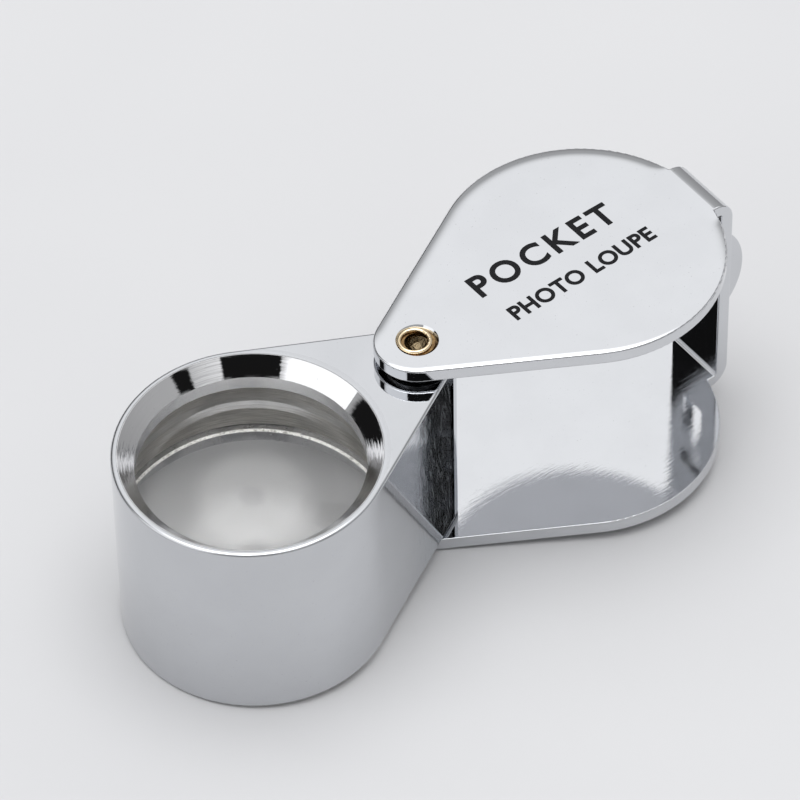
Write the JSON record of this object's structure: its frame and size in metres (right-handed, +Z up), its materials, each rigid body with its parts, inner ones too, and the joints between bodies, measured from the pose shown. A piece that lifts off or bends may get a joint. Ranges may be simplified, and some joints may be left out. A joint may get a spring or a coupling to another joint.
{
  "type": "viewing loupe",
  "caption": "Folding chrome pocket magnifier: a triplet lens in a teardrop barrel that swings on a brass rivet out of a bent sheet case with a lanyard loop at its closed end.",
  "frame": {"origin": "middle of the open loupe's bounding box, on the flat underside of the case, which rests on the table", "axes": "+X from the lens barrel towards the case's closed end and lanyard strap, +Z up along the rivet and the optical axis"},
  "size_m": [0.059, 0.0228, 0.021],
  "materials": {
    "case_chrome": "mirror chrome plate on pressed sheet, edges slightly rounded",
    "body_chrome": "mirror chrome plate on a turned barrel",
    "bezel_chrome": "bright chrome on a turned bevel",
    "flint_glass": "polished optical glass, rim ground matt",
    "crown_glass": "polished optical glass, rim ground matt",
    "rivet_brass": "bare brass, rolled and slightly darkened",
    "washer_steel": "plain spring steel"
  },
  "bodies": {
    "case": {"case_shell": "case_chrome", "pivot_rivet": "rivet_brass", "spring_washer": "washer_steel", "flat_washer": "washer_steel"},
    "lens": {"lens_body": "body_chrome", "eye_bezel_ring": "bezel_chrome", "field_bezel_ring": "bezel_chrome", "eye_flint_lens": "flint_glass", "centre_crown_lens": "crown_glass", "field_flint_lens": "flint_glass"}
  },
  "joints": [
    {"name": "lens_swing", "type": "hinge", "parent": "case", "child": "lens", "pos_m": [-0.00243, 0, 0.01045], "axis": [0, 0, 1], "continuous": true}
  ]
}
